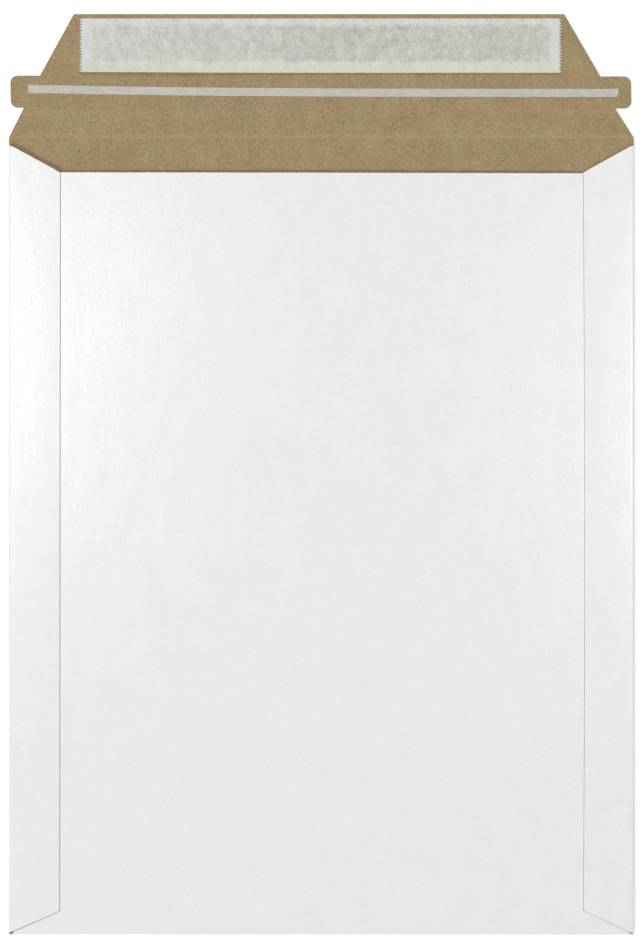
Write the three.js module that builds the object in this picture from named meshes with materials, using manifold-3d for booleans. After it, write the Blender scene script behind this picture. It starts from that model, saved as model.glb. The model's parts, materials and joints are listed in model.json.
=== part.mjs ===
// Rigid cardboard mailer: a pocket folded from one sheet of paperboard, the closing flap
// of the same sheet, and the adhesive strip, release liner and tear tape on the flap.
// Millimetres, +Z up. The empty mailer lies on its back with the flap laid open towards +Y.

import * as THREE from 'three';
import { mergeVertices } from 'three/addons/utils/BufferGeometryUtils.js';
import Module from 'manifold-3d';

// Board
const boardThickness = 0.6;
const foldSegments = 10;
const cornerSegments = 6;

// Pocket: a back panel, a front panel folded up from the bottom, and two side flaps glued on top
const pocketWidth = 228.6;
const pocketHeight = 292.1;
const pocketGap = 0.8;
const mouthDrop = 13.1;
const sideFlapWidth = 18.6;
const sideFlapTopDrop = 2.8;
const sideFlapBottomTaper = 8.9;
const glueBite = 0.05;
const frontPanelClearance = 0.2;
const cornerNotch = 0.3;

// Closing flap, measured up from its crease, with its insets from the sides of the mailer
const flapHeight = 45.2;
const flapTipInset = 24.45;
const aboveTabsInset = 11.6;
const belowTabsInset = 5.95;
const shoulderKnee = 1.1;
const tabInset = 0.75;
const tabHeight = 11.65;
const tabCentre = 16.65;
const tabCornerRadius = 2.5;

// Scored crease between the pocket and the flap
const creaseGap = 0.3;
const creaseBeadWidth = 1.8;
const creaseBeadHeight = 0.12;

// Adhesive strip and its release liner
const adhesiveEndMargin = 5.0;
const adhesiveWidth = 13.2;
const adhesiveThickness = 0.1;
const linerEndMargin = 1.45;
const linerWidth = 19.8;
const linerThickness = 0.1;
const linerTipMargin = 1.6;
const linerDryEdge = 4.0;
const linerTeeth = 18;
const linerToothDepth = 1.0;

// Tear tape, which starts a little high at the left and settles towards the right
const tapeEndMargin = 5.45;
const tapeWidth = 3.0;
const tapeThickness = 0.1;
const tapeShift = 0.65;
const tapeLeftRise = 1.25;
const tapeDrift = 1.5;
const tapeSteps = 14;

// How far a cutting solid reaches past the board that it trims
const cutReach = 2.0;

// Worked-out sizes. The crease lies at y = 0 in the pocket's and the flap's own coordinates.
const pocketBottom = -pocketHeight;
const frontUnderside = boardThickness + pocketGap;
const frontTop = frontUnderside + boardThickness;
const pocketTop = frontTop + boardThickness - glueBite;
const sideFoldRadius = pocketTop / 2;
const bottomFoldRadius = frontTop / 2;
const sideFoldStart = pocketWidth / 2 - sideFoldRadius;
const sideFlapEdge = pocketWidth / 2 - sideFlapWidth;
const frontPanelHalf = sideFoldStart - frontPanelClearance;
const creaseEdge = creaseGap / 2;
const tabBottom = tabCentre - tabHeight / 2;
const tabTop = tabCentre + tabHeight / 2;
const tabEnd = pocketWidth / 2 - tabInset;
const flapTipHalf = pocketWidth / 2 - flapTipInset;
const aboveTabsHalf = pocketWidth / 2 - aboveTabsInset;
const belowTabsHalf = pocketWidth / 2 - belowTabsInset;
const linerHalf = flapTipHalf - linerEndMargin;
const adhesiveHalf = linerHalf - adhesiveEndMargin;
const tapeLength = 2 * (tabEnd - tapeEndMargin);
const linerTop = flapHeight - linerTipMargin;
const linerBottom = linerTop - linerWidth;

const wasm = await Module();
wasm.setup();

// A closed geometry as a solid that can be joined and cut
function toSolid(geometry) {
  const bare = geometry.clone();
  bare.deleteAttribute('normal');
  bare.deleteAttribute('uv');
  const merged = mergeVertices(bare);
  return new wasm.Manifold(new wasm.Mesh({
    numProp: 3,
    vertProperties: new Float32Array(merged.attributes.position.array),
    triVerts: new Uint32Array(merged.index.array),
  }));
}

// A joined or cut solid as a geometry again
function toGeometry(solid) {
  const mesh = solid.getMesh();
  const geometry = new THREE.BufferGeometry();
  geometry.setAttribute('position', new THREE.BufferAttribute(mesh.vertProperties, 3));
  geometry.setIndex(new THREE.BufferAttribute(mesh.triVerts, 1));
  geometry.computeVertexNormals();
  return geometry;
}

// A flat shape drawn in X and Y, raised from z by a thickness
function plate(shape, z, thickness) {
  const options = { depth: thickness, bevelEnabled: false, curveSegments: cornerSegments };
  return new THREE.ExtrudeGeometry(shape, options).translate(0, 0, z);
}

// A section drawn in X and Z, drawn out along Y from one place to another
function alongY(section, from, to) {
  const options = { depth: to - from, bevelEnabled: false, curveSegments: foldSegments };
  return new THREE.ExtrudeGeometry(section, options).rotateX(Math.PI / 2).translate(0, to, 0);
}

// A section drawn in Y and Z, drawn out along X, centred on the mailer
function acrossX(section, halfWidth) {
  const options = { depth: 2 * halfWidth, bevelEnabled: false, curveSegments: foldSegments };
  const turn = new THREE.Matrix4().makeBasis(
    new THREE.Vector3(0, 1, 0),
    new THREE.Vector3(0, 0, 1),
    new THREE.Vector3(1, 0, 0),
  );
  return new THREE.ExtrudeGeometry(section, options).applyMatrix4(turn).translate(-halfWidth, 0, 0);
}

function polygon(points) {
  return new THREE.Shape(points.map(([x, y]) => new THREE.Vector2(x, y)));
}

// Section of a board folded back over itself. The fold opens towards +u and its upper leg
// ends at legEnd. The fold's round begins at foldLine and reaches one radius towards -u.
function hairpin(foldLine, radius, legEnd) {
  const innerRadius = radius - boardThickness;
  const section = new THREE.Shape();
  section.moveTo(foldLine, 0);
  section.absarc(foldLine, radius, radius, -Math.PI / 2, Math.PI / 2, true);
  section.lineTo(legEnd, 2 * radius);
  section.lineTo(legEnd, 2 * radius - boardThickness);
  section.lineTo(foldLine, 2 * radius - boardThickness);
  section.absarc(foldLine, radius, innerRadius, Math.PI / 2, -Math.PI / 2, false);
  section.closePath();
  return section;
}

// Half of the raised bead that scoring leaves on the inside of the crease, at z = boardThickness.
// side is -1 on the pocket and +1 on the flap.
function creaseBead(side) {
  const outer = side * creaseBeadWidth / 2;
  const inner = side * creaseEdge;
  const top = boardThickness + creaseBeadHeight;
  const root = boardThickness / 2;
  const section = new THREE.Shape();
  section.moveTo(outer, root);
  section.lineTo(outer, boardThickness);
  section.quadraticCurveTo(side * creaseBeadWidth / 4, top, inner, top);
  section.lineTo(inner, root);
  section.closePath();
  return toSolid(acrossX(section, pocketWidth / 2));
}

// Back panel, with an ear at each upper corner that stands out over the end of the side fold
function backPanel() {
  const earFoot = -sideFlapTopDrop;
  const foot = pocketBottom + bottomFoldRadius;
  const half = pocketWidth / 2;
  const outline = polygon([
    [-sideFoldStart, foot], [sideFoldStart, foot],
    [sideFoldStart, earFoot], [half, earFoot],
    [half, -creaseEdge], [-half, -creaseEdge],
    [-half, earFoot], [-sideFoldStart, earFoot],
  ]);
  return toSolid(plate(outline, 0, boardThickness));
}

// Front panel and the bottom fold that joins it to the back panel
function frontPanel() {
  const section = hairpin(pocketBottom + bottomFoldRadius, bottomFoldRadius, -mouthDrop);
  return toSolid(acrossX(section, frontPanelHalf));
}

// What trims a side flap's end: all that lies past a line across the flap, above the fold's middle.
// outerY and innerY are the line's heights at the fold and at the flap's free edge, and
// pastY is a place well past the line.
function endTrim(outerY, innerY, pastY) {
  const slope = (outerY - innerY) / sideFlapWidth;
  const outerX = pocketWidth / 2 + cutReach;
  const innerX = sideFlapEdge - cutReach;
  const outline = polygon([
    [innerX, innerY - slope * cutReach], [outerX, outerY + slope * cutReach],
    [outerX, pastY], [innerX, pastY],
  ]);
  return toSolid(plate(outline, sideFoldRadius, pocketTop));
}

// Right side flap and the side fold that joins it to the back panel, with tapered ends
function rightSideFlap() {
  const section = hairpin(-sideFoldStart, sideFoldRadius, -sideFlapEdge);
  const foot = pocketBottom + cornerNotch;
  const leaf = toSolid(alongY(section, foot, -sideFlapTopDrop)).mirror([1, 0, 0]);
  const topTrim = endTrim(-sideFlapTopDrop, -mouthDrop, cutReach);
  const bottomTrim = endTrim(foot, pocketBottom + sideFlapBottomTaper, pocketBottom - cutReach);
  return leaf.subtract(topTrim).subtract(bottomTrim);
}

function backPanelGeometry() {
  return toGeometry(backPanel().add(creaseBead(-1)));
}

// The front panel with all that folds up around it: the bottom fold and both glued side flaps
function frontPanelGeometry() {
  const right = rightSideFlap();
  const left = right.mirror([1, 0, 0]);
  return toGeometry(frontPanel().add(right).add(left));
}

// Outline of the closing flap, with a pull tab on each side for the tear tape
function flapOutline() {
  const half = pocketWidth / 2;
  const kneeReach = shoulderKnee - creaseEdge;
  const knee = new THREE.Vector2(half, shoulderKnee);
  const notch = new THREE.Vector2(belowTabsHalf, tabBottom);
  const slant = notch.clone().sub(knee).setLength(kneeReach).add(knee);
  const tabStraight = tabEnd - tabCornerRadius;
  const shape = new THREE.Shape();
  shape.moveTo(-half, creaseEdge);
  shape.lineTo(half, creaseEdge);
  shape.quadraticCurveTo(knee.x, knee.y, slant.x, slant.y);
  shape.lineTo(notch.x, notch.y);
  shape.lineTo(tabStraight, tabBottom);
  shape.absarc(tabStraight, tabBottom + tabCornerRadius, tabCornerRadius, -Math.PI / 2, 0, false);
  shape.absarc(tabStraight, tabTop - tabCornerRadius, tabCornerRadius, 0, Math.PI / 2, false);
  shape.lineTo(aboveTabsHalf, tabTop);
  shape.lineTo(flapTipHalf, flapHeight);
  shape.lineTo(-flapTipHalf, flapHeight);
  shape.lineTo(-aboveTabsHalf, tabTop);
  shape.absarc(-tabStraight, tabTop - tabCornerRadius, tabCornerRadius, Math.PI / 2, Math.PI, false);
  shape.absarc(-tabStraight, tabBottom + tabCornerRadius, tabCornerRadius, Math.PI, 1.5 * Math.PI, false);
  shape.lineTo(-notch.x, notch.y);
  shape.lineTo(-slant.x, slant.y);
  shape.quadraticCurveTo(-knee.x, knee.y, -half, creaseEdge);
  return shape;
}

function closingFlapGeometry() {
  const board = toSolid(plate(flapOutline(), 0, boardThickness));
  return toGeometry(board.add(creaseBead(1)));
}

function adhesiveGeometry() {
  const bottom = linerBottom + linerDryEdge;
  const top = bottom + adhesiveWidth;
  const outline = polygon([
    [-adhesiveHalf, bottom], [adhesiveHalf, bottom], [adhesiveHalf, top], [-adhesiveHalf, top],
  ]);
  return plate(outline, boardThickness, adhesiveThickness);
}

// Release liner, cut to length with a pinked edge at both ends
function linerGeometry() {
  const pitch = linerWidth / linerTeeth;
  const root = linerHalf - linerToothDepth;
  const pinked = [[root, linerBottom]];
  for (let tooth = 0; tooth < linerTeeth; tooth += 1) {
    pinked.push([linerHalf, linerBottom + (tooth + 0.5) * pitch]);
    pinked.push([root, linerBottom + (tooth + 1) * pitch]);
  }
  const otherEnd = pinked.map(([x, y]) => [-x, y]).reverse();
  return plate(polygon([...pinked, ...otherEnd]), boardThickness + adhesiveThickness, linerThickness);
}

function tapeGeometry() {
  const left = tapeShift - tapeLength / 2;
  const upper = [];
  const lower = [];
  for (let step = 0; step <= tapeSteps; step += 1) {
    const share = step / tapeSteps;
    const middle = tabCentre + tapeLeftRise - tapeDrift * (1 - (1 - share) ** 3);
    upper.unshift([left + share * tapeLength, middle + tapeWidth / 2]);
    lower.push([left + share * tapeLength, middle - tapeWidth / 2]);
  }
  return plate(polygon([...lower, ...upper]), boardThickness, tapeThickness);
}

function piece(name, geometry, color, roughness) {
  const material = new THREE.MeshStandardMaterial({ color, roughness, metalness: 0 });
  const mesh = new THREE.Mesh(geometry, material);
  mesh.name = name;
  return mesh;
}

// The flap carries its strip, liner and tape
const flap = new THREE.Group();
flap.add(piece('closing_flap', closingFlapGeometry(), 0x9f8b69, 0.9));
flap.add(piece('adhesive_strip', adhesiveGeometry(), 0xc6c2b0, 0.5));
flap.add(piece('release_liner', linerGeometry(), 0xd6d9d3, 0.45));
flap.add(piece('tear_tape', tapeGeometry(), 0xbebcb3, 0.4));

// The origin is under the middle of the opened mailer, so the crease lies on the +Y side of it
const mailer = new THREE.Group();
mailer.add(piece('back_panel', backPanelGeometry(), 0xebedea, 0.6));
mailer.add(piece('front_panel', frontPanelGeometry(), 0xebedea, 0.6));
mailer.add(flap);
mailer.position.y = (pocketHeight - flapHeight) / 2;

export default mailer;
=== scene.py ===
import json
import math

import bmesh
import bpy
from bpy.props import FloatProperty, FloatVectorProperty, IntProperty, PointerProperty
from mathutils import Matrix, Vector, noise


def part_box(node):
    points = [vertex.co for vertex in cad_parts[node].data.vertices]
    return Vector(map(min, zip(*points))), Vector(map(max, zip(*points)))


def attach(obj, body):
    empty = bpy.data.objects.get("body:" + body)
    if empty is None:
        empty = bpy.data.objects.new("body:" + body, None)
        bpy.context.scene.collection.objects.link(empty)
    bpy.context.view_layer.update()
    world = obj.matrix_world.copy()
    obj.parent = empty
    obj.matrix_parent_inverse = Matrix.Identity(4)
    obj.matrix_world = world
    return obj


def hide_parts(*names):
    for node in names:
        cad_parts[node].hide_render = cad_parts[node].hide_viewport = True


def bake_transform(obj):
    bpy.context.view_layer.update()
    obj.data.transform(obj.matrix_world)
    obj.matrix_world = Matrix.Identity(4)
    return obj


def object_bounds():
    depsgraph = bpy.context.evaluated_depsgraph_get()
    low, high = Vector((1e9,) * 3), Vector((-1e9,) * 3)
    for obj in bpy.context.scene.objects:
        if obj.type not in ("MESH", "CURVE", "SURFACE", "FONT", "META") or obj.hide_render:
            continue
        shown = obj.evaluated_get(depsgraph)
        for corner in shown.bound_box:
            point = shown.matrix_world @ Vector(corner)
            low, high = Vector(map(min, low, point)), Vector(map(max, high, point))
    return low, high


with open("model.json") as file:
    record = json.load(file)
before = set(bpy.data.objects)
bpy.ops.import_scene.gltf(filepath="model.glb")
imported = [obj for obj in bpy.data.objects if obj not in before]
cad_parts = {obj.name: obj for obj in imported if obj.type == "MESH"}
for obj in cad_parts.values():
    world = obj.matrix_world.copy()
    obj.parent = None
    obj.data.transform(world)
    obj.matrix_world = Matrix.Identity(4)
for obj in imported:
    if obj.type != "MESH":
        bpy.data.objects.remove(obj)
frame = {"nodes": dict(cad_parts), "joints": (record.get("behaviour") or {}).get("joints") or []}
CAD_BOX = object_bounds()

bl_info = {
    "name": "Rigid Mailer",
    "version": (1, 0, 0),
    "blender": (4, 5, 0),
    "location": "View3D > Sidebar > Mailer",
    "description": "Models a flat paperboard mailer with its seal strip and tear tape laid open",
    "category": "Add Mesh",
}

MM = 0.001
SHEET_PLACE = "sheet_place"
WHITE = (1, 1, 1)

# Distances in metres within which points merge, and within which two lengths count as equal
WELD = 1e-7
NEAR = 0.01 * MM

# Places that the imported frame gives, in metres
FRONT_LOW, FRONT_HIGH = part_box("front_panel")
FLAP_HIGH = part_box("closing_flap")[1]
GLUE_LOW, GLUE_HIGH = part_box("adhesive_strip")
LINER_LOW, LINER_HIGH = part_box("release_liner")
TAPE_LOW, TAPE_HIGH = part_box("tear_tape")
CREASE_Y = frame["joints"][0]["pos_m"][1]

# The board's material slots
COAT, KRAFT, CORE = range(3)

# Sockets of a Mix node that mixes colours
MIX_SHARE, MIX_FIRST, MIX_SECOND = 0, 6, 7
MIX_RESULT = 2

# How finely the pieces are divided, with the flap's rows below, beside and above its tabs
BACK_CELLS = (40, 48)
FRONT_ROWS = 46
SIDE_FLAP_COLUMNS = 8
CREASE_ROWS = 12
FLAP_ROWS = (3, 4, 7)
ROUND_CUTS = 5
LINER_COLUMNS = 120
TAPE_CELLS = (72, 4)

# Angles in degrees above which an edge stays sharp
BOARD_SMOOTHING = 32
PAPER_SMOOTHING = 40

# Unevenness of the sheets: turns a metre along X and Y, and a seed. The ripples take X as -1 or 1
PANEL_WAVES = (14, 11, 3.1)
SEAM_RIPPLES = (5.3, 16, 0.4)
LINER_WAVES = (60, 60, 7.7)
TAPE_WAVES = (90, 90, 2.2)

# How strong that unevenness is, and how far above the bottom fold the panel's waves fade in
RIPPLE_SHARE = 0.4
LINER_WAVE_HEIGHT = 0.02 * MM
TAPE_WAVE_HEIGHT = 0.015 * MM
WAVE_FADE = 20 * MM

# Where the liner is loose, and over what stretch its sag sets in, as shares of its length or height
LOOSE_PLACE = 0.16
LOOSE_REACH = 0.32
LOOSE_BAND = 0.28
SAG_REACH = 0.3

# How far the kraft's red, green and blue swing in its clouds and in its ruddy patches
CLOUD_SWING = (0.043, 0.062, 0.077)
RUDDY_SWING = (0.035, -0.012, -0.012)

# Distances from the middle line at which the score line sets in and is full
SCORE_STARTS = 62 * MM
SCORE_FULL = 78 * MM

# Width of the liner's yellower lower edge, which is also made paler there as painted light
LIT_EDGE_WIDTH = 2.4 * MM

# Plies in the board's core, in radians a metre
PLY_RATE = 42000.0

# The floor's drop below the mailer, and the distances in metres between which its white lift grows
FLOOR_DROP = 0.02 * MM
LIFT_NEAR = 0.3
LIFT_FAR = 3.0

# How many times nearer and farther than the mailer the camera still sees
CLIP_RATIO = 100


def length(name, description, millimetres):
    """A length that the sidebar shows in the scene's units."""
    return FloatProperty(name=name, description=description, default=millimetres * MM,
                         unit="LENGTH", subtype="DISTANCE", precision=5)


def pair(name, description, left, right):
    """Two lengths in millimetres, one for each side of the mailer."""
    return FloatVectorProperty(name=name, description=description + ", left and right",
                               default=(left * MM, right * MM), size=2,
                               unit="LENGTH", subtype="NONE", precision=5)


def position(name, description, x, y, z):
    """A point, given in millimetres, that the sidebar shows in the scene's units."""
    return FloatVectorProperty(name=name, description=description, default=(x * MM, y * MM, z * MM),
                               unit="LENGTH", subtype="TRANSLATION", size=3)


def power(name, description, watts):
    """Power of a lamp."""
    return FloatProperty(name=name, description=description, default=watts, min=0.0,
                         subtype="POWER", unit="POWER")


def colour(name, description, red, green, blue):
    """A linear colour that the sidebar shows as a swatch."""
    return FloatVectorProperty(name=name, description=description, default=(red, green, blue),
                               subtype="COLOR", size=3, min=0.0, max=1.0)


def number(name, description, default, least=0.0):
    """A plain number with a least value."""
    return FloatProperty(name=name, description=description, default=default, min=least)


def count(name, description, default, least):
    """A whole number with a least value."""
    return IntProperty(name=name, description=description, default=default, min=least)


class MailerBoardSettings(bpy.types.PropertyGroup):
    """Sizes and colours of the folded board."""

    thickness: length("Thickness", "Thickness of the paperboard", 0.6)
    pocket_gap: length("Pocket Gap", "Clear height between the back and front panels", 0.8)
    bottom_lift: length("Bottom Lift", "How far the bottom fold stays inside the frame's box", 0.2)
    mouth_drop: length("Mouth Drop", "How far below the crease the front panel ends", 13.1)
    mouth_tilt: length("Mouth Tilt", "How much lower the mouth is at the right than in the middle", 0.22)
    side_flap_width: pair("Side Flap Width", "Width of each glued side flap", 18.94, 18.69)
    side_flap_top_drop: length("Side Flap Top", "How far below the crease a side fold starts", 2.8)
    side_flap_taper: pair("Side Flap Taper", "Rise of a side flap's slanted lower end", 8.51, 8.99)
    side_flap_foot: pair("Side Flap Foot", "Height of that end above the bottom at the side fold",
                         0.35, 0.32)
    seam_bow: pair("Seam Bow", "How far out the middle of a side flap's glued edge is drawn", 0.0, 0.51)
    seam_lean: pair("Seam Lean", "How much further in it is at the mouth than at the bottom", 0.22, 0.0)
    front_clearance: length("Front Clearance", "Gap beside the front panel, inside a side fold", 0.4)
    corner_notch: length("Corner Notch", "Gap between a side fold's end and the bottom edge", 0.05)
    # The core colour at a side fold's lower end is painted shade, standing in for the dark of the open
    # corner.
    shade_end_height: length("Bare Corner", "How far up the crushed end of a side fold shows its core", 1.8)
    tip_inset: length("Tip Inset", "Inset of the flap's outer edge from the mailer's side", 24.45)
    above_tab_inset: length("Inset Above Tabs", "Inset of the flap just above its tabs", 11.6)
    below_tab_inset: pair("Inset Below Tabs", "Inset of the flap just below its tabs", 5.5, 6.45)
    ear_reach: length("Ear Reach", "How far the ears at the crease stand out past the side folds", 0.2)
    shoulder_round: length("Shoulder Round", "Radius that softens the flap's shoulder", 4.0)
    tab_inset: pair("Tab Inset", "Inset of a pull tab's end from the mailer's side", 0.75, 0.44)
    tab_height: length("Tab Height", "Height of each pull tab", 11.65)
    tab_centre: length("Tab Centre", "Height of the left pull tab's middle above the crease", 16.8)
    tab_drop: length("Tab Drop", "How far the right pull tab sits lower than the left one", 0.33)
    tab_round: length("Tab Round", "Radius of a pull tab's corners", 2.55)
    crease_reach: length("Crease Reach", "Distance on each side of the crease that bends", 1.2)
    crease_bead: length("Crease Bead", "Height of the ridge that scoring raises inside", 0.13)
    crease_spread: length("Crease Spread", "Half width of that ridge", 0.5)
    mouth_bow: length("Mouth Bow", "How far the front panel stands off at the mouth", 0.4)
    mouth_bow_depth: length("Mouth Bow Depth", "How far down the pocket that bow fades out", 140.0)
    seam_press: length("Seam Press", "How far the glued edge of a side flap is pressed down", 0.16)
    panel_wave: length("Panel Wave", "Height of the slow waves in the front panel", 0.08)
    flap_lean: length("Flap Lean", "How far the flap's tip has drifted to the left", 0.9)
    fold_steps: count("Fold Steps", "Faces around a fold", 12, 4)
    fold_squareness: number("Fold Squareness", "2 is a round fold, more is squarer", 6.5, 2.0)
    score_rise: length("Score Rise", "Height of the faint score line above the crease", 9.6)
    seam_slant: pair("Seam Slant", "How far a flap's glued edge slants back under its coat", 0.36, 0.25)
    low_end_slant: pair("Low End Slant", "How far its lower end slants back under its coat", 0.37, 0.16)
    coat_colour: colour("Coat Colour", "White clay coat outside", 0.844, 0.855, 0.836)
    kraft_colour: colour("Kraft Colour", "Brown liner inside", 0.348, 0.2585, 0.1395)
    core_colour: colour("Core Colour", "Grey core at the cut edges", 0.37, 0.355, 0.325)


class MailerSealSettings(bpy.types.PropertyGroup):
    """Sizes and colours of the seal strip, its liner and the tear tape."""

    liner_teeth: count("Liner Teeth", "Pinked teeth at a liner's end", 18, 2)
    liner_tooth_depth: length("Tooth Depth", "Depth of the pinked teeth", 1.1)
    liner_drift: length("Liner Drift", "How far the liner has been laid to the left", 0.32)
    liner_sag: length("Liner Sag", "How far its lower edge hangs, away from its left end", 0.22)
    liner_lift: length("Liner Lift", "How far the liner's lower edge stands off", 0.35)
    liner_curl: length("Liner Curl", "How far more it stands off near its left corner", 0.5)
    liner_colour: colour("Liner Colour", "Dry release paper", 0.648, 0.666, 0.628)
    wet_colour: colour("Wetted Colour", "Release paper where adhesive shows through", 0.538, 0.537, 0.479)
    # Paler and yellower lower edge of the liner: the paleness is painted light, lifting the shade that its
    # curl would get.
    lit_edge_colour: colour("Liner Edge Colour", "Yellowed lower edge of the release paper", 0.69, 0.65, 0.48)
    glue_colour: colour("Adhesive Colour", "Pressure sensitive adhesive", 0.62, 0.60, 0.50)
    tape_width: length("Tape Width", "Width of the tear tape", 3.0)
    tape_left_rise: length("Tape Rise", "Height of the tape's left end above the tabs' middle", 1.01)
    tape_drift: length("Tape Drift", "How far the tape settles towards the right", 1.5)
    tape_end_slant: length("Tape End Slant", "How far the cut at its right end is off square", 0.5)
    tape_colour: colour("Tape Colour", "Greyish tear tape film", 0.513, 0.492, 0.441)


class MailerStageSettings(bpy.types.PropertyGroup):
    """Floor, light and camera."""

    floor_size: length("Floor Size", "Side of the floor", 8000.0)
    floor_colour: colour("Floor Colour", "Pale floor", 0.86, 0.86, 0.86)
    floor_lift: number("Floor Lift", "White that the camera sees added to the floor", 0.3)
    far_lift: number("Far Lift", "White added where the lamps no longer reach", 0.85)
    world_strength: number("World Strength", "Even light from all round", 0.18)
    key_place: position("Key Place", "Where the key lamp stands, past the lower left",
                        -2000.0, -2300.0, 3100.0)
    key_size: length("Key Size", "Side of the key lamp", 1400.0)
    key_power: power("Key Power", "Power of the key lamp", 88.3)
    left_place: position("Left Softbox", "Where the softbox over the left hangs", -429.0, 131.0, 1600.0)
    left_power: power("Left Power", "Power of the softbox over the left", 4.72)
    right_place: position("Right Softbox", "Where the softbox over the right hangs", 494.0, 68.0, 1600.0)
    right_power: power("Right Power", "Power of the softbox over the right", 3.95)
    softbox_size: length("Softbox Size", "Side of each softbox", 300.0)
    top_place: position("Top Lamp", "Where the lamp past the flap's end stands", 520.0, 3030.0, 2600.0)
    top_size: length("Top Size", "Side of that lamp", 1560.0)
    top_power: power("Top Power", "Power of that lamp", 45.9)
    lamp_aim: position("Lamp Aim", "Point that the lamps face", 0.0, 20.0, 0.0)
    lens: FloatProperty(name="Lens", description="Focal length in millimetres", default=100.0,
                        unit="CAMERA", subtype="DISTANCE_CAMERA")
    view_height: length("View Height", "Height of the picture at the mailer", 346.77)
    view_shift_x: length("View X", "Where the picture's middle falls across the mailer", -0.5)
    view_shift_y: length("View Y", "Where the picture's middle falls along the mailer", 0.32)


# Editing helpers

def start_grid(name, low, high, x_cells, y_cells):
    """Add a flat grid between two corners and leave it in edit mode, with its object at the origin."""
    if bpy.context.mode != "OBJECT":
        bpy.ops.object.mode_set(mode="OBJECT")
    bpy.ops.object.select_all(action="DESELECT")
    bpy.ops.mesh.primitive_grid_add(x_subdivisions=x_cells, y_subdivisions=y_cells, size=1,
                                    location=(0, 0, 0))
    piece = bpy.context.object
    piece.name = name
    piece.data.name = name
    bpy.ops.object.mode_set(mode="EDIT")
    bpy.ops.mesh.select_all(action="SELECT")
    bpy.ops.transform.resize(value=(high[0] - low[0], high[1] - low[1], 1), center_override=(0, 0, 0))
    middle = ((low[0] + high[0]) / 2, (low[1] + high[1]) / 2, low[2])
    bpy.ops.transform.translate(value=middle)
    return piece


def pick(piece, kind, test):
    """In edit mode, select the vertices, edges or faces that pass a test."""
    bpy.ops.mesh.select_mode(type=kind)
    bpy.ops.mesh.select_all(action="DESELECT")
    mesh = bmesh.from_edit_mesh(piece.data)
    items = {"VERT": mesh.verts, "EDGE": mesh.edges, "FACE": mesh.faces}[kind]
    for item in items:
        item.select_set(test(item))
    mesh.select_flush_mode()
    bmesh.update_edit_mesh(piece.data)


def pick_border(piece, test):
    """Select the open border edges both of whose ends pass a test."""
    pick(piece, "EDGE", lambda edge: edge.is_boundary and all(test(vert.co) for vert in edge.verts))


def near(value, place):
    """True where two lengths agree."""
    return abs(value - place) < NEAR


def rows_between(side, low, high):
    """Test for points on one side of the mailer between two heights."""
    return lambda co: low < co.y < high and side * co.x > 0


def extrude(move, steps=1):
    """Draw the selected border out by a move, in equal steps."""
    step = tuple(Vector(move) / steps)
    for _ in range(steps):
        bpy.ops.mesh.extrude_region_move(TRANSFORM_OT_translate={"value": step})


def trim(piece, region, point, outward):
    """Cut the faces whose middles are in a region along an upright plane, and delete what lies past it."""
    start, away = Vector(point), Vector(outward)

    def inside(face):
        return region(face.calc_center_median())

    def past(face):
        return inside(face) and (face.calc_center_median() - start).dot(away) > 0

    pick(piece, "FACE", inside)
    bpy.ops.mesh.bisect(plane_co=start, plane_no=away, threshold=WELD)
    pick(piece, "FACE", past)
    bpy.ops.mesh.delete(type="FACE")


def trim_line(piece, region, start, end):
    """Trim along a line seen from above. What lies to the right of start to end is cut away."""
    along = Vector((end[0] - start[0], end[1] - start[1], 0)).normalized()
    trim(piece, region, (*start, 0), (along.y, -along.x, 0))


def trim_round(piece, region, centre, radius, first, last):
    """Round an outline's corner by cuts that touch an arc, between two directions in degrees."""
    for cut in range(1, ROUND_CUTS + 1):
        angle = math.radians(first + (last - first) * cut / (ROUND_CUTS + 1))
        outward = Vector((math.cos(angle), math.sin(angle), 0))
        trim(piece, region, Vector((*centre, 0)) + radius * outward, outward)


def finish_edit(piece):
    """Merge doubles, leave edit mode and stop if the piece has come out empty."""
    bpy.ops.mesh.select_all(action="SELECT")
    bpy.ops.mesh.remove_doubles(threshold=WELD)
    bpy.ops.object.mode_set(mode="OBJECT")
    if not piece.data.polygons:
        raise RuntimeError(f"{piece.name} has no faces left")


def apply_modifier(piece, kind, **settings):
    """Add a modifier to a piece and apply it."""
    modifier = piece.modifiers.new(kind.title(), kind)
    for setting, value in settings.items():
        setattr(modifier, setting, value)
    bpy.context.view_layer.objects.active = piece
    bpy.ops.object.modifier_apply(modifier=modifier.name)


def smooth_by_angle(piece, degrees):
    """Shade a piece smooth, apart from edges sharper than an angle."""
    bpy.ops.object.select_all(action="DESELECT")
    piece.select_set(True)
    bpy.context.view_layer.objects.active = piece
    bpy.ops.object.shade_smooth_by_angle(angle=math.radians(degrees))


def ease(value):
    """Smooth step from 0 to 1."""
    value = min(max(value, 0.0), 1.0)
    return value * value * (3 - 2 * value)


def uneven(x, y, waves):
    """Slow noise about 0 at a place on a sheet."""
    x_rate, y_rate, seed = waves
    return noise.noise(Vector((x * x_rate, y * y_rate, seed)))


# Material helpers

def add_node(tree, kind, inputs=None, **settings):
    """Add a node, set its options and its unlinked inputs, and link any socket given as an input."""
    made = tree.nodes.new(kind)
    for setting, value in settings.items():
        setattr(made, setting, value)
    for socket, value in (inputs or {}).items():
        if isinstance(value, bpy.types.NodeSocket):
            tree.links.new(value, made.inputs[socket])
        else:
            made.inputs[socket].default_value = value
    return made


def math_node(tree, operation, first, second=0.0):
    """Add a math node and return its value."""
    return add_node(tree, "ShaderNodeMath", {0: first, 1: second}, operation=operation).outputs["Value"]


def times(tree, first, *others):
    """Product of several masks or factors."""
    for other in others:
        first = math_node(tree, "MULTIPLY", first, other)
    return first


def map_range(tree, value, low, high, to_low, to_high):
    """Map a value from one range to another, clamped."""
    inputs = {"Value": value, "From Min": low, "From Max": high, "To Min": to_low, "To Max": to_high}
    return add_node(tree, "ShaderNodeMapRange", inputs).outputs["Result"]


def spread(tree, value, half, to_low=0.0, to_high=1.0):
    """Map a noise from the range within a half width of 0.5 to another range."""
    return map_range(tree, value, 0.5 - half, 0.5 + half, to_low, to_high)


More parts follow.
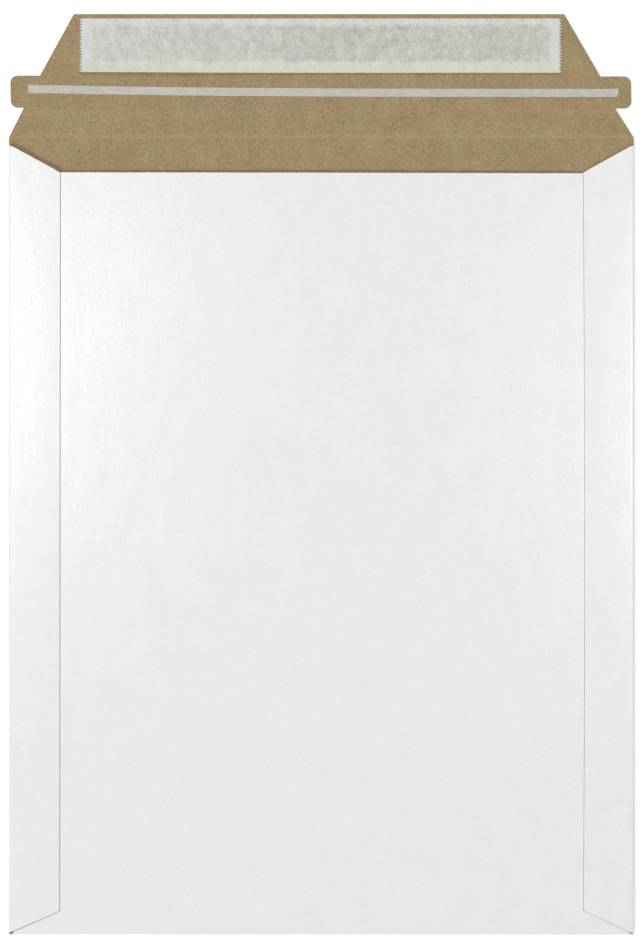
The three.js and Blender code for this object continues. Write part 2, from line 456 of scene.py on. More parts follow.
def band(tree, value, centre, half, soft):
    """Mask that is 1 within a half width of a centre and fades to 0 over a soft edge."""
    distance = math_node(tree, "ABSOLUTE", math_node(tree, "SUBTRACT", value, centre))
    return map_range(tree, distance, half, half + soft, 1.0, 0.0)


def shade(base, factor):
    """A colour made darker or lighter by a factor."""
    return tuple(channel * factor for channel in base)


def grey(tree, value):
    """Turn a value into a grey that can multiply a colour."""
    return add_node(tree, "ShaderNodeCombineXYZ", {"X": value, "Y": value, "Z": value}).outputs[0]


def mix_colours(tree, share, first, second, blend="MIX"):
    """Mix two colours, each a socket or a linear colour."""
    inputs = {MIX_SHARE: share}
    for socket, value in ((MIX_FIRST, first), (MIX_SECOND, second)):
        inputs[socket] = value if isinstance(value, bpy.types.NodeSocket) else (*value, 1.0)
    return add_node(tree, "ShaderNodeMix", inputs, data_type="RGBA", blend_type=blend).outputs[MIX_RESULT]


def two_tone(tree, share, base, low, high):
    """Mix two shades of a colour by a share."""
    return mix_colours(tree, share, shade(base, low), shade(base, high))


def swing_colour(tree, share, base, swing):
    """Let each channel of a colour swing by its own part, from below to above, by a share."""
    low = [channel * (1 - part) for channel, part in zip(base, swing)]
    high = [channel * (1 + part) for channel, part in zip(base, swing)]
    return mix_colours(tree, share, low, high)


def tinted(tree, base, tint):
    """Multiply a colour by another one."""
    return mix_colours(tree, 1.0, base, tint, blend="MULTIPLY")


def object_place(tree):
    """Place of a surface point in the piece's own coordinates."""
    return add_node(tree, "ShaderNodeTexCoord").outputs["Object"]


def object_parts(tree):
    """Outputs X, Y and Z of that place."""
    return add_node(tree, "ShaderNodeSeparateXYZ", {0: object_place(tree)}).outputs


def object_noise(tree, scale, detail):
    """Outputs of a noise that stays with the piece."""
    inputs = {"Vector": object_place(tree), "Scale": scale, "Detail": detail}
    return add_node(tree, "ShaderNodeTexNoise", inputs).outputs


def sheet_parts(tree):
    """Outputs X, Y and Z of a board point's place with the flap open, however the flap is turned."""
    place = add_node(tree, "ShaderNodeAttribute", attribute_name=SHEET_PLACE).outputs["Vector"]
    return add_node(tree, "ShaderNodeSeparateXYZ", {0: place}).outputs


def add_bump(tree, shader, height, strength, depth):
    """Feed a height to a shader's normal."""
    bump = add_node(tree, "ShaderNodeBump", {"Height": height, "Strength": strength, "Distance": depth})
    tree.links.new(bump.outputs["Normal"], shader.inputs["Normal"])


def vary_roughness(tree, shader, share, swing):
    """Let a shader's roughness swing about its plain value by a share."""
    roughness = shader.inputs["Roughness"]
    plain = roughness.default_value
    tree.links.new(map_range(tree, share, 0.0, 1.0, plain - swing, plain + swing), roughness)


def new_group(name, inputs, outputs):
    """Start a node group with named values. Returns its tree, what it is given and what it puts out."""
    tree = bpy.data.node_groups.new(name, "ShaderNodeTree")
    for socket, default in inputs.items():
        made = tree.interface.new_socket(socket, in_out="INPUT", socket_type="NodeSocketFloat")
        made.default_value = default
    for socket in outputs:
        tree.interface.new_socket(socket, in_out="OUTPUT", socket_type="NodeSocketFloat")
    return tree, tree.nodes.new("NodeGroupInput").outputs, tree.nodes.new("NodeGroupOutput").inputs


def fibre_group():
    """Node group for paper: a fine grain, slow clouds, sparse specks and stray fibres, from 0 to 1."""
    name = "paper_fibres"
    if name in bpy.data.node_groups:
        return bpy.data.node_groups[name]
    defaults = {"Grain Scale": 900.0, "Stretch": 1.0, "Cloud Scale": 60.0,
                "Speck Scale": 160.0, "Speck Size": 0.1, "Seed": 0.0}
    tree, given, result = new_group(name, defaults, ["Grain", "Clouds", "Specks", "Strands"])
    place = object_place(tree)
    across = math_node(tree, "DIVIDE", 1.0, given["Stretch"])
    squash = add_node(tree, "ShaderNodeCombineXYZ", {"X": 1.0, "Y": across, "Z": 1.0}).outputs[0]
    drawn = add_node(tree, "ShaderNodeVectorMath", {0: place, 1: squash}, operation="MULTIPLY").outputs[0]

    def drawn_noise(scale, detail, roughness):
        inputs = {"Vector": drawn, "W": given["Seed"], "Scale": given[scale],
                  "Detail": detail, "Roughness": roughness}
        return add_node(tree, "ShaderNodeTexNoise", inputs, noise_dimensions="4D").outputs["Fac"]

    grain = drawn_noise("Grain Scale", detail=3.0, roughness=0.6)
    clouds = drawn_noise("Cloud Scale", detail=4.0, roughness=0.55)

    cells = add_node(tree, "ShaderNodeTexVoronoi",
                     {"Vector": place, "W": given["Seed"], "Scale": given["Speck Scale"],
                      "Randomness": 1.0}, voronoi_dimensions="4D")
    rim = given["Speck Size"]
    specks = map_range(tree, cells.outputs["Distance"], rim, times(tree, rim, 0.5), 0.0, 1.0)

    bend = object_noise(tree, scale=260.0, detail=2.0)["Color"]
    sway = add_node(tree, "ShaderNodeVectorMath", {0: bend, "Scale": 0.004}, operation="SCALE").outputs[0]
    swayed = add_node(tree, "ShaderNodeVectorMath", {0: place, 1: sway}, operation="ADD").outputs[0]
    web = add_node(tree, "ShaderNodeTexVoronoi",
                   {"Vector": swayed, "Scale": 420.0}, feature="DISTANCE_TO_EDGE")
    strand = map_range(tree, web.outputs["Distance"], 0.0, 0.06, 1.0, 0.0)
    patchy = map_range(tree, clouds, 0.5, 0.62, 0.0, 1.0)

    masks = {"Grain": grain, "Clouds": clouds, "Specks": specks, "Strands": times(tree, strand, patchy)}
    for socket, value in masks.items():
        tree.links.new(value, result[socket])
    return tree


def new_material(name, roughness):
    """Start a material. Returns it with its tree and its shader."""
    material = bpy.data.materials.new(name)
    material.use_nodes = True
    shader = material.node_tree.nodes["Principled BSDF"]
    shader.inputs["Roughness"].default_value = roughness
    return material, material.node_tree, shader


def paper_material(name, roughness, fibres):
    """Start a paper-like material. Returns it with its tree, its shader and its fibre group's outputs."""
    material, tree, shader = new_material(name, roughness)
    placed = add_node(tree, "ShaderNodeGroup", node_tree=fibre_group())
    for socket, value in fibres.items():
        placed.inputs[socket].default_value = value
    return material, tree, shader, placed.outputs


# Materials

def coat_material(settings):
    """White clay coat with a satin sheen and a faint upright fleck."""
    material, tree, shader, fibres = paper_material(
        "white_coat", roughness=0.24,
        fibres={"Grain Scale": 1050.0, "Stretch": 1.6, "Cloud Scale": 110.0, "Seed": 1.7})
    grain = spread(tree, fibres["Grain"], half=0.2)
    clouds = spread(tree, fibres["Clouds"], half=0.15, to_low=0.987, to_high=1.0105)
    flecked = two_tone(tree, grain, settings.coat_colour, low=0.972, high=1.023)
    tree.links.new(tinted(tree, flecked, grey(tree, clouds)), shader.inputs["Base Color"])
    vary_roughness(tree, shader, grain, swing=0.04)
    height = math_node(tree, "ADD", fibres["Grain"], times(tree, fibres["Clouds"], 3.0))
    add_bump(tree, shader, height, strength=0.9, depth=0.043 * MM)
    return material


def crease_light_and_shade(tree, paper, grain, settings):
    """Paint a pale highlight along the crease's ridge and a thin line of shade just below it, and draw a
    faint score line at the flap's sides.
    """
    base = settings.kraft_colour
    parts = sheet_parts(tree)
    broken = map_range(tree, grain, 0.35, 0.6, to_low=0.55, to_high=1.0)
    # Painted highlight: a pale band along the upper side of the crease's ridge, where light would catch it,
    # broken up by the grain.
    ridge = band(tree, parts["Y"], centre=CREASE_Y + 0.3 * MM, half=0.45 * MM, soft=0.7 * MM)
    lit_ridge = mix_colours(tree, times(tree, ridge, broken, 0.5), paper, shade(base, 1.28))
    # Painted shade: a thin dark line just below the crease.
    under_ridge_shade = band(tree, parts["Y"], centre=CREASE_Y - 0.7 * MM, half=0.1 * MM, soft=0.3 * MM)
    shaded_crease = mix_colours(tree, times(tree, under_ridge_shade, 0.25), lit_ridge, shade(base, 0.75))
    score = band(tree, parts["Y"], centre=CREASE_Y + settings.score_rise, half=0.3 * MM, soft=1.0 * MM)
    aside = math_node(tree, "ABSOLUTE", parts["X"])
    sides = map_range(tree, aside, SCORE_STARTS, SCORE_FULL, to_low=0.0, to_high=0.2)
    return mix_colours(tree, times(tree, score, sides), shaded_crease, shade(base, 1.25))


def kraft_material(settings):
    """Brown kraft liner with clouds, ruddy patches, fibres, dark specks, and painted light and shade along
    the crease.
    """
    material, tree, shader, fibres = paper_material(
        "kraft_liner", roughness=0.88,
        fibres={"Grain Scale": 1250.0, "Stretch": 1.1, "Cloud Scale": 90.0,
                "Speck Scale": 260.0, "Speck Size": 0.15, "Seed": 4.2})
    shader.inputs["Specular IOR Level"].default_value = 0.25
    base = settings.kraft_colour
    clouded = swing_colour(tree, spread(tree, fibres["Clouds"], half=0.15), base, CLOUD_SWING)
    patches = spread(tree, object_noise(tree, scale=95.0, detail=2.0)["Fac"], half=0.15)
    ground = tinted(tree, clouded, swing_colour(tree, patches, WHITE, RUDDY_SWING))
    grain = spread(tree, fibres["Grain"], half=0.22, to_low=0.73, to_high=1.27)
    salted = tinted(tree, ground, grey(tree, grain))
    stranded = mix_colours(tree, times(tree, fibres["Strands"], 0.25), salted, shade(base, 1.5))
    specked = mix_colours(tree, times(tree, fibres["Specks"], 0.55), stranded, shade(base, 0.35))
    tree.links.new(crease_light_and_shade(tree, specked, fibres["Grain"], settings), shader.inputs["Base Color"])
    add_bump(tree, shader, fibres["Grain"], strength=0.5, depth=0.06 * MM)
    return material


def core_material(settings):
    """Grey brown core where the board is cut, with its plies showing as thin lines."""
    material, tree, shader, fibres = paper_material(
        "board_core", roughness=0.9, fibres={"Grain Scale": 2600.0, "Seed": 9.1})
    plies = math_node(tree, "SINE", times(tree, object_parts(tree)["Z"], PLY_RATE))
    grain = math_node(tree, "ADD", times(tree, plies, 0.12), fibres["Grain"])
    layered = two_tone(tree, spread(tree, grain, half=0.25), settings.core_colour, low=0.78, high=1.2)
    tree.links.new(layered, shader.inputs["Base Color"])
    add_bump(tree, shader, grain, strength=0.4, depth=0.06 * MM)
    return material


def strip_mask(tree, low, high, soft, wander):
    """Mask that is 1 inside a box seen from above, with soft edges that wander by a noise."""
    drift = object_noise(tree, scale=700.0, detail=3.0)["Fac"]
    moved = spread(tree, drift, half=0.25, to_low=-wander, to_high=wander)
    parts = object_parts(tree)
    masks = []
    for axis, start, end in (("X", low.x, high.x), ("Y", low.y, high.y)):
        shifted = math_node(tree, "ADD", parts[axis], moved)
        masks.append(band(tree, shifted, (start + end) / 2, (end - start) / 2 - soft, 2 * soft))
    return times(tree, *masks)


def liner_material(settings):
    """Thin release paper, greyer and mottled where the adhesive wets it, yellower at its lower edge and
    paler there as painted light.
    """
    material, tree, shader, fibres = paper_material(
        "release_paper", roughness=0.5,
        fibres={"Grain Scale": 1100.0, "Stretch": 1.3, "Cloud Scale": 330.0, "Seed": 6.6})
    grain = spread(tree, fibres["Grain"], half=0.2)
    clouds = spread(tree, fibres["Clouds"], half=0.17)
    mottle = math_node(tree, "ADD", times(tree, clouds, 0.45), times(tree, grain, 0.55))
    parts = object_parts(tree)
    # Painted light: the band along the lower edge is paler as well as yellower, against the shade of the
    # liner's curl.
    edge = map_range(tree, parts["Y"], LINER_LOW.y, LINER_LOW.y + LIT_EDGE_WIDTH, to_low=0.9, to_high=0.0)
    dry = two_tone(tree, mottle, settings.liner_colour, low=0.8, high=1.17)
    lit_edge_paper = mix_colours(tree, edge, dry, settings.lit_edge_colour)
    wet = two_tone(tree, mottle, settings.wet_colour, low=0.69, high=1.28)
    wetted = map_range(tree, parts["X"], LINER_LOW.x, 0.0, to_low=0.48, to_high=1.0)
    mask = strip_mask(tree, GLUE_LOW, GLUE_HIGH, soft=0.6 * MM, wander=0.5 * MM)
    patched = mix_colours(tree, times(tree, mask, wetted), lit_edge_paper, wet)
    tree.links.new(patched, shader.inputs["Base Color"])
    vary_roughness(tree, shader, spread(tree, fibres["Clouds"], half=0.2), swing=0.08)
    add_bump(tree, shader, mottle, strength=0.3, depth=0.06 * MM)
    return material


def tape_material(settings):
    """Greyish film with fine lines along its length."""
    material, tree, shader, fibres = paper_material(
        "tear_film", roughness=0.45,
        fibres={"Grain Scale": 1100.0, "Stretch": 0.5, "Cloud Scale": 260.0, "Seed": 3.3})
    grain = spread(tree, fibres["Grain"], half=0.2)
    clouds = spread(tree, fibres["Clouds"], half=0.15, to_low=0.94, to_high=1.06)
    lined = two_tone(tree, grain, settings.tape_colour, low=0.87, high=1.13)
    tree.links.new(tinted(tree, lined, grey(tree, clouds)), shader.inputs["Base Color"])
    add_bump(tree, shader, fibres["Grain"], strength=0.15, depth=0.03 * MM)
    return material


def glue_material(settings):
    """Cream adhesive film, slightly cloudy and glossy."""
    material, tree, shader, fibres = paper_material(
        "seal_glue", roughness=0.3, fibres={"Cloud Scale": 180.0, "Seed": 8.4})
    clouds = spread(tree, fibres["Clouds"], half=0.2)
    clouded = two_tone(tree, clouds, settings.glue_colour, low=0.9, high=1.08)
    tree.links.new(clouded, shader.inputs["Base Color"])
    add_bump(tree, shader, fibres["Clouds"], strength=0.3, depth=0.08 * MM)
    return material


def floor_material(settings):
    """Pale floor that the camera sees lifted to white, more so far out, with the mailer's shadow kept."""
    material, tree, shader = new_material("pale_floor", roughness=0.9)
    shader.inputs["Base Color"].default_value = (*settings.floor_colour, 1)
    shader.inputs["Specular IOR Level"].default_value = 0.1
    path = add_node(tree, "ShaderNodeLightPath").outputs
    seen = math_node(tree, "MAXIMUM", path["Is Camera Ray"], path["Is Glossy Ray"])
    seen = math_node(tree, "MAXIMUM", seen, path["Is Transmission Ray"])
    away = add_node(tree, "ShaderNodeVectorMath", {0: object_place(tree)}, operation="LENGTH")
    lift = map_range(tree, away.outputs["Value"], LIFT_NEAR, LIFT_FAR,
                     settings.floor_lift, settings.far_lift)
    glow = add_node(tree, "ShaderNodeEmission",
                    {"Color": (*WHITE, 1), "Strength": times(tree, lift, seen)})
    both = add_node(tree, "ShaderNodeAddShader", {0: shader.outputs[0], 1: glow.outputs[0]})
    tree.links.new(both.outputs[0], tree.nodes["Material Output"].inputs["Surface"])
    return material


# The folded board

class BoardPlan:
    """Lines of the folded board that several of its folds and cuts share."""

    def __init__(self, settings):
        self.settings = settings
        self.half = FRONT_HIGH.x
        self.ear = self.half + settings.ear_reach
        self.bottom = FRONT_LOW.y + settings.bottom_lift
        self.tip = FLAP_HIGH.y
        self.crease = CREASE_Y
        self.side_radius = FRONT_HIGH.z / 2
        self.bottom_radius = settings.thickness + settings.pocket_gap / 2
        self.side_fold = self.half - self.side_radius
        self.side_top = 2 * self.side_radius
        self.front_half = self.side_fold - settings.front_clearance
        self.front_top = 2 * self.bottom_radius
        self.foot = self.bottom + self.bottom_radius
        self.ear_foot = self.crease - settings.side_flap_top_drop
        self.mouth = self.crease - settings.mouth_drop
        self.tab_middle = self.crease + settings.tab_centre
        self.tab_low = self.tab_middle - settings.tab_height / 2
        self.tab_high = self.tab_low + settings.tab_height

    def seam(self, side):
        """Distance of a side flap's glued edge from the mailer's middle line."""
        return self.half - self.settings.side_flap_width[side > 0]

    def seam_shift(self, side, y):
        """How far a side flap's glued edge is out of line at a height, outwards."""
        bow, lean = self.settings.seam_bow[side > 0], self.settings.seam_lean[side > 0]
        up = (y - self.bottom) / (self.mouth - self.bottom)
        return 4 * up * (1 - up) * bow + (0.5 - up) * lean

    def low_end(self, side):
        """Line of a side flap's lower end on the right, from the side fold to the glued edge."""
        foot, taper = self.settings.side_flap_foot[side > 0], self.settings.side_flap_taper[side > 0]
        return [(self.half, self.bottom + foot), (self.seam(side), self.bottom + taper)]


def crease_rows(plan, settings):
    """Heights of the rows from the ears to the flap's tip: close at the crease, wide on the flap."""
    reach = settings.crease_reach
    rows = [plan.ear_foot]
    rows += [plan.crease - reach + 2 * reach * row / CREASE_ROWS for row in range(CREASE_ROWS + 1)]
    stops = (rows[-1], plan.tab_low, plan.tab_high, plan.tip)
    for low, high, parts in zip(stops, stops[1:], FLAP_ROWS):
        rows += [low + (high - low) * part / parts for part in range(1, parts + 1)]
    return rows


def lay_blank(plan, settings):
    """Lay the back panel and the closing flap flat, with straight sides, facing down."""
    low, high = (-plan.front_half, plan.foot, 0), (plan.front_half, plan.ear_foot, 0)
    board = start_grid("mailer_board", low, high, *BACK_CELLS)
    bpy.ops.mesh.flip_normals()
    rows = crease_rows(plan, settings)
    pick_border(board, lambda co: near(co.y, plan.ear_foot))
    for row, next_row in zip(rows, rows[1:]):
        extrude((0, next_row - row, 0))
    for side in (-1, 1):
        pick_border(board, lambda co: near(co.x, side * plan.front_half))
        extrude((side * (plan.side_fold - plan.front_half), 0, 0))
        pick_border(board, lambda co: near(co.x, side * plan.side_fold) and co.y > plan.ear_foot - WELD)
        extrude((side * (plan.ear - plan.side_fold), 0, 0))
    return board


def trim_flap(board, plan, settings):
    """Cut the closing flap's outline: shoulders, pull tabs and slanted sides."""
    above_tab = plan.half - settings.above_tab_inset
    tip_half = plan.half - settings.tip_inset
    knee, tab_round = settings.shoulder_round, settings.tab_round
    for side, tab_inset, below_inset in zip((-1, 1), settings.tab_inset, settings.below_tab_inset):
        tab_end = plan.half - tab_inset
        below_tab = plan.half - below_inset
        slant = math.degrees(math.atan2(plan.ear - below_tab, plan.tab_low - plan.crease))
        knee_y = plan.crease - knee * math.tan(math.radians(slant / 2))
        low_band = rows_between(side, plan.ear_foot, plan.tab_low)
        tab_band = rows_between(side, plan.tab_low, plan.tab_high)
        high_band = rows_between(side, plan.tab_high, math.inf)

        def cut(region, start, end):
            line = [(side * start[0], start[1]), (side * end[0], end[1])]
            trim_line(board, region, *(line[::side]))

        def round_off(region, x, y, radius, turn):
            first, last = (0, turn) if side > 0 else (180, 180 - turn)
            trim_round(board, region, (side * x, y), radius, first, last)

        cut(low_band, (plan.ear, plan.crease), (below_tab, plan.tab_low))
        round_off(low_band, plan.ear - knee, knee_y, knee, slant)
        cut(tab_band, (tab_end, plan.tab_low), (tab_end, plan.tab_high))
        cut(high_band, (above_tab, plan.tab_high), (tip_half, plan.tip))
        round_off(tab_band, tab_end - tab_round, plan.tab_high - tab_round, tab_round, 90)
        round_off(tab_band, tab_end - tab_round, plan.tab_low + tab_round, tab_round, -90)


def fold_sides(board, plan, settings):
    """Fold a flap over from each side of the back panel and slant its two ends."""
    foot = plan.bottom + settings.corner_notch
    for side in (-1, 1):
        pick_border(board, lambda co: near(co.x, side * plan.side_fold) and co.y < plan.ear_foot + WELD)
        bpy.ops.mesh.spin(steps=settings.fold_steps, angle=side * math.pi, axis=(0, 1, 0),
                          center=(side * plan.side_fold, 0, plan.side_radius))
        extrude((side * (plan.seam(side) - plan.side_fold), 0, 0), SIDE_FLAP_COLUMNS)
        pick_border(board, lambda co: near(co.y, plan.foot)
                    and (co.z > WELD or near(co.x, side * plan.side_fold)) and side * co.x > 0)
        extrude((0, foot - plan.foot, 0))

        def upper_leaf(co):
            return co.z > plan.side_radius and side * co.x > 0

        top_end = [(plan.seam(side), plan.mouth), (plan.half, plan.ear_foot)]
        for end in (top_end, plan.low_end(side)):
            line = [(side * x, y) for x, y in end]
            trim_line(board, upper_leaf, *(line[::-side]))


def fold_front(board, plan, settings):
    """Fold the front panel up from the bottom of the back panel."""
    pick_border(board, lambda co: near(co.y, plan.foot) and near(co.z, 0)
                and abs(co.x) < plan.front_half + WELD)
    bpy.ops.mesh.spin(steps=settings.fold_steps, angle=math.pi, axis=(1, 0, 0),
                      center=(0, plan.foot, plan.bottom_radius))
    extrude((0, plan.mouth - plan.foot, 0), FRONT_ROWS)


def square_off(offset, radius, squareness):
    """Move a distance from a round fold's axis outwards, so that the fold comes out squarer."""
    return math.copysign(radius * abs(offset / radius) ** (2 / squareness), offset)


def square_folds(board, plan, settings):
    """Press the round folds at the sides and the bottom squarer."""
    squareness = settings.fold_squareness
    for vert in board.data.vertices:
        co = vert.co
        past_side = abs(co.x) - plan.side_fold
        past_foot = plan.foot - co.y
        if past_side > WELD and co.z > WELD:
            radius = plan.side_radius
            co.x = math.copysign(plan.side_fold + square_off(past_side, radius, squareness), co.x)
            co.z = radius + square_off(co.z - radius, radius, squareness)
        elif past_foot > WELD and co.z > WELD and abs(co.x) < plan.front_half + WELD:
            radius = plan.bottom_radius
            co.y = plan.foot - square_off(past_foot, radius, squareness)
            co.z = radius + square_off(co.z - radius, radius, squareness)


def relax_front(co, plan, settings):
    """Move a point of the front panel: a bow and a tilt at the mouth, and slow waves."""
    across = max(0.0, 1 - (co.x / plan.seam(co.x)) ** 2)
    up = ease(1 - (plan.mouth - co.y) / settings.mouth_bow_depth)
    wave = uneven(co.x, co.y, PANEL_WAVES)
    inner = min(1.0, (co.y - plan.foot) / WAVE_FADE)
    co.z += across ** 2 * (settings.mouth_bow * up ** 2 + settings.panel_wave * wave * inner)
    co.y -= settings.mouth_tilt * up * co.x / plan.half


def relax_side(co, plan, settings):
    """Move a point of a side flap: a pressed seam with ripples along it, out of line."""
    free = max(0.0, (plan.side_fold - abs(co.x)) / (plan.side_fold - plan.seam(co.x)))
    ripple = 1 + RIPPLE_SHARE * uneven(math.copysign(1, co.x), co.y, SEAM_RIPPLES)
    co.z -= settings.seam_press * free ** 2 * ripple
    co.x += math.copysign(free, co.x) * plan.seam_shift(co.x, co.y)


def relax_back(co, plan, settings):
    """Move a point of the back panel or its flap: the crease's ridge, the lean and the right tab's drop."""
    off = (co.y - plan.crease) / settings.crease_spread
    co.z += settings.crease_bead * math.exp(-off * off)
    co.x -= settings.flap_lean * max(0.0, co.y - plan.crease) / (plan.tip - plan.crease)
    beside = ease(1 - abs(co.y - plan.tab_middle) / (plan.tip - plan.tab_middle))
    co.y -= settings.tab_drop * ease(co.x / plan.half) * beside


def relax_board(board, plan, settings):
    """Take the machine flatness out of the board."""
    for vert in board.data.vertices:
        co = vert.co
        if near(co.z, plan.front_top) and abs(co.x) < plan.front_half + WELD and co.y > plan.foot:
            relax_front(co, plan, settings)
        elif near(co.z, plan.side_top):
            relax_side(co, plan, settings)
        elif near(co.z, 0):
            relax_back(co, plan, settings)


def slant_cuts(board, plan, settings):
    """Draw the coat back from a side flap's glued edge and lower end, so that the core shows."""
    top = plan.side_top - settings.thickness
    moves = []
    for side, seam_slant, low_slant in zip((-1, 1), settings.seam_slant, settings.low_end_slant):
        low_start, low_end = (Vector(point) for point in plan.low_end(side))
        along = (low_end - low_start).normalized()
        into = Vector((along.y, -along.x))
        seam, low = set(), set()
        for vert in board.data.vertices:
            flat = Vector((side * vert.co.x, vert.co.y))
            if vert.co.z < top or flat.x < 0:
                continue
            if near(flat.x, plan.seam(side) + plan.seam_shift(side, flat.y)):
                seam.add(vert.index)
            if (flat - low_start).dot(into) < low_slant:
                low.add(vert.index)
        moves.append((seam, (side * seam_slant, 0, 0)))
        moves.append((low, (0, low_slant / into.y, 0)))
    bpy.ops.object.mode_set(mode="EDIT")
    for chosen, move in moves:
        pick(board, "VERT", lambda vert: vert.index in chosen)
        bpy.ops.transform.translate(value=move)
    bpy.ops.object.mode_set(mode="OBJECT")


def shaded_fold_ends(board, plan, settings):
    """Paint shade into the lower ends of the side folds: their inner faces take the grey core colour, which
    stands in for the dark of the open corner.
    """
    for face in board.data.polygons:
        low = face.center.y < plan.bottom + settings.shade_end_height
        if face.material_index == KRAFT and low and abs(face.center.x) > plan.front_half:
            face.material_index = CORE


def keep_places(board):
    """Note on each vertex where it lies, for the patterns that stay with the sheet."""
    places = board.data.attributes.new(SHEET_PLACE, "FLOAT_VECTOR", "POINT")
    for vert, place in zip(board.data.vertices, places.data):
        place.vector = vert.co


def make_board(settings):
    """Model the folded board as one sheet, then give it its thickness inwards."""
    plan = BoardPlan(settings)
    board = lay_blank(plan, settings)
    trim_flap(board, plan, settings)
    fold_sides(board, plan, settings)
    fold_front(board, plan, settings)
    finish_edit(board)
    square_folds(board, plan, settings)
    relax_board(board, plan, settings)
    for material in (coat_material(settings), kraft_material(settings), core_material(settings)):
        board.data.materials.append(material)
    apply_modifier(board, "SOLIDIFY", thickness=settings.thickness, offset=-1, use_even_offset=True,
                   use_quality_normals=True, material_offset=KRAFT - COAT, material_offset_rim=CORE - COAT)
    slant_cuts(board, plan, settings)
    shaded_fold_ends(board, plan, settings)
    keep_places(board)
    smooth_by_angle(board, BOARD_SMOOTHING)
    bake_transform(board)
    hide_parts("back_panel", "front_panel", "closing_flap")


# The pieces on the flap

def finish_paper(piece, material, thickness):
    """Give a flat piece its material and its thickness, upwards."""
    piece.data.materials.append(material)
    apply_modifier(piece, "SOLIDIFY", thickness=thickness, offset=1, use_even_offset=True)
    smooth_by_angle(piece, PAPER_SMOOTHING)


def make_liner(settings):
    """Release liner with pinked ends, its lower edge loose, most of all near its left corner."""
    teeth = settings.liner_teeth
    first, last = LINER_LOW, LINER_HIGH
    span, height = last.x - first.x, last.y - first.y
    liner = start_grid("liner_paper", first, last, LINER_COLUMNS, 2 * teeth)
    for side, end in ((-1, first.x), (1, last.x)):
        def root(vert):
            """Rows at whole teeth are the roots, and the rows between them the tips."""
            tooth = (vert.co.y - first.y) / (height / teeth)
            return near(vert.co.x, end) and abs(tooth - round(tooth)) < 1 / 4

        pick(liner, "VERT", root)
        bpy.ops.transform.translate(value=(-side * settings.liner_tooth_depth, 0, 0))
    finish_edit(liner)
    for vert in liner.data.vertices:
        co = vert.co
        along = (co.x - first.x) / span
        low = 1 - (co.y - first.y) / height
        loose = ease(1 - abs(along - LOOSE_PLACE) / LOOSE_REACH)
        rise = settings.liner_lift + settings.liner_curl * loose
        co.z += rise * max(0.0, (low - (1 - LOOSE_BAND)) / LOOSE_BAND) ** 2
        co.z += LINER_WAVE_HEIGHT * (1 + uneven(co.x, co.y, LINER_WAVES))
        co.x -= settings.liner_drift
        co.y -= settings.liner_sag * low * ease(along / SAG_REACH)
    finish_paper(liner, liner_material(settings), last.z - first.z)
    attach(liner, "closing_flap")
    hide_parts("release_liner")


def make_tape(board_settings, settings):
    """Tear tape from tab to tab, a little high at its left end."""
    middle = CREASE_Y + board_settings.tab_centre + settings.tape_left_rise
    low = (TAPE_LOW.x, middle - settings.tape_width / 2, TAPE_LOW.z)
    high = (TAPE_HIGH.x, middle + settings.tape_width / 2, TAPE_LOW.z)
    tape = start_grid("tear_tape_film", low, high, *TAPE_CELLS)
    finish_edit(tape)
    for vert in tape.data.vertices:
        co = vert.co
        along = (co.x - TAPE_LOW.x) / (TAPE_HIGH.x - TAPE_LOW.x)
        if along > 1 - WELD:
            co.x += settings.tape_end_slant * (co.y - middle) / settings.tape_width
        co.y -= settings.tape_drift * (1 - (1 - along) ** 3)
        co.z += TAPE_WAVE_HEIGHT * (1 + uneven(co.x, co.y, TAPE_WAVES))
    finish_paper(tape, tape_material(settings), TAPE_HIGH.z - TAPE_LOW.z)
    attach(tape, "closing_flap")
    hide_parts("tear_tape")


def finish_glue(settings):
    """Give the adhesive strip, which the liner covers, its finish."""
    strip = frame["nodes"]["adhesive_strip"]
    strip.data.materials.clear()
    strip.data.materials.append(glue_material(settings))


# Stage

def make_floor(settings):
    """Floor under the mailer."""
    half = settings.floor_size / 2
    floor = start_grid("floor", (-half, -half, -FLOOR_DROP), (half, half, -FLOOR_DROP), 1, 1)
    finish_edit(floor)
    floor.data.materials.append(floor_material(settings))


def make_world(settings):
    """Even white light from all round, and a white backdrop for the camera."""
    world = bpy.data.worlds.new("studio")
    bpy.context.scene.world = world
    world.use_nodes = True
    tree = world.node_tree
    backdrop = tree.nodes["Background"].inputs
    backdrop["Color"].default_value = (*WHITE, 1)
    path = add_node(tree, "ShaderNodeLightPath").outputs
    strength = map_range(tree, path["Is Camera Ray"], 0.0, 1.0, settings.world_strength, 1.0)
    tree.links.new(strength, backdrop["Strength"])


def add_lamp(name, place, target, size, watts):
    """Soft square lamp that faces a target."""
    bpy.ops.object.light_add(type="AREA", location=place)
    lamp = bpy.context.object
    lamp.name = name
    lamp.data.name = name
    lamp.data.size = size
    lamp.data.energy = watts
    lamp.visible_camera = False
    lamp.rotation_euler = (Vector(target) - Vector(place)).to_track_quat("-Z", "Y").to_euler()


def add_camera(settings):
    """Camera straight above the mailer. The sensor's width lies along the upright picture's height."""
    camera = bpy.data.cameras.new("camera")
    camera.lens = settings.lens
    distance = settings.view_height * camera.lens / camera.sensor_width
    holder = bpy.data.objects.new("camera", camera)
    holder.location = (settings.view_shift_x, settings.view_shift_y, distance + CAD_BOX[1].z / 2)
    camera.clip_start = distance / CLIP_RATIO
    camera.clip_end = distance * CLIP_RATIO
    bpy.context.scene.collection.objects.link(holder)
    bpy.context.scene.camera = holder


# Operators, panel and registration

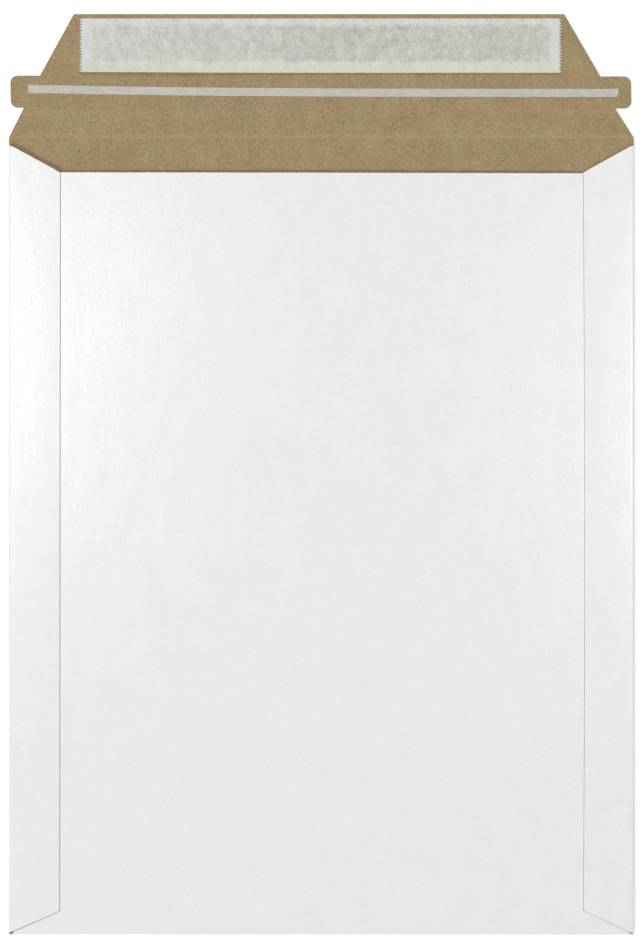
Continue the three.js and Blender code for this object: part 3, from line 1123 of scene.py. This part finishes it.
class MAILER_OT_stage(bpy.types.Operator):
    """Set up the camera, the floor, the world and the lamps"""

    bl_idname = "mailer.stage"
    bl_label = "Stage"

    def execute(self, context):
        settings = context.scene.mailer_stage
        context.scene.view_settings.view_transform = "Standard"
        add_camera(settings)
        make_floor(settings)
        make_world(settings)
        aim = settings.lamp_aim
        softbox = settings.softbox_size
        add_lamp("key_lamp", settings.key_place, aim, settings.key_size, settings.key_power)
        add_lamp("top_lamp", settings.top_place, aim, settings.top_size, settings.top_power)
        add_lamp("left_softbox", settings.left_place, aim, softbox, settings.left_power)
        add_lamp("right_softbox", settings.right_place, aim, softbox, settings.right_power)
        return {"FINISHED"}


class MAILER_OT_board(bpy.types.Operator):
    """Fold the pocket and the closing flap from one sheet of board"""

    bl_idname = "mailer.board"
    bl_label = "Folded Board"

    def execute(self, context):
        make_board(context.scene.mailer_board)
        return {"FINISHED"}


class MAILER_OT_seal(bpy.types.Operator):
    """Finish the adhesive strip and lay its release liner on the flap"""

    bl_idname = "mailer.seal"
    bl_label = "Seal Strip and Liner"

    def execute(self, context):
        finish_glue(context.scene.mailer_seal)
        make_liner(context.scene.mailer_seal)
        return {"FINISHED"}


class MAILER_OT_tape(bpy.types.Operator):
    """Lay the tear tape across the flap"""

    bl_idname = "mailer.tape"
    bl_label = "Tear Tape"

    def execute(self, context):
        make_tape(context.scene.mailer_board, context.scene.mailer_seal)
        return {"FINISHED"}


class MAILER_PT_sidebar(bpy.types.Panel):
    """Sizes, colours and build steps of the mailer"""

    bl_idname = "MAILER_PT_sidebar"
    bl_label = "Rigid Mailer"
    bl_space_type = "VIEW_3D"
    bl_region_type = "UI"
    bl_category = "Mailer"

    def draw(self, context):
        scene = context.scene
        for operator in (MAILER_OT_stage, MAILER_OT_board, MAILER_OT_seal, MAILER_OT_tape):
            self.layout.operator(operator.bl_idname)
        for settings in (scene.mailer_board, scene.mailer_seal, scene.mailer_stage):
            box = self.layout.box()
            for name in settings.__annotations__:
                box.prop(settings, name)


CLASSES = (MailerBoardSettings, MailerSealSettings, MailerStageSettings, MAILER_OT_stage,
           MAILER_OT_board, MAILER_OT_seal, MAILER_OT_tape, MAILER_PT_sidebar)


def register():
    """Register the classes and give the scene its settings."""
    for cls in CLASSES:
        bpy.utils.register_class(cls)
    bpy.types.Scene.mailer_board = PointerProperty(type=MailerBoardSettings)
    bpy.types.Scene.mailer_seal = PointerProperty(type=MailerSealSettings)
    bpy.types.Scene.mailer_stage = PointerProperty(type=MailerStageSettings)


def unregister():
    """Take the settings and the classes away again."""
    del bpy.types.Scene.mailer_stage
    del bpy.types.Scene.mailer_seal
    del bpy.types.Scene.mailer_board
    for cls in reversed(CLASSES):
        bpy.utils.unregister_class(cls)


def main():
    """Build the mailer and its stage."""
    register()
    bpy.ops.mailer.stage()
    bpy.ops.mailer.board()
    bpy.ops.mailer.seal()
    bpy.ops.mailer.tape()


if __name__ == "__main__":
    main()
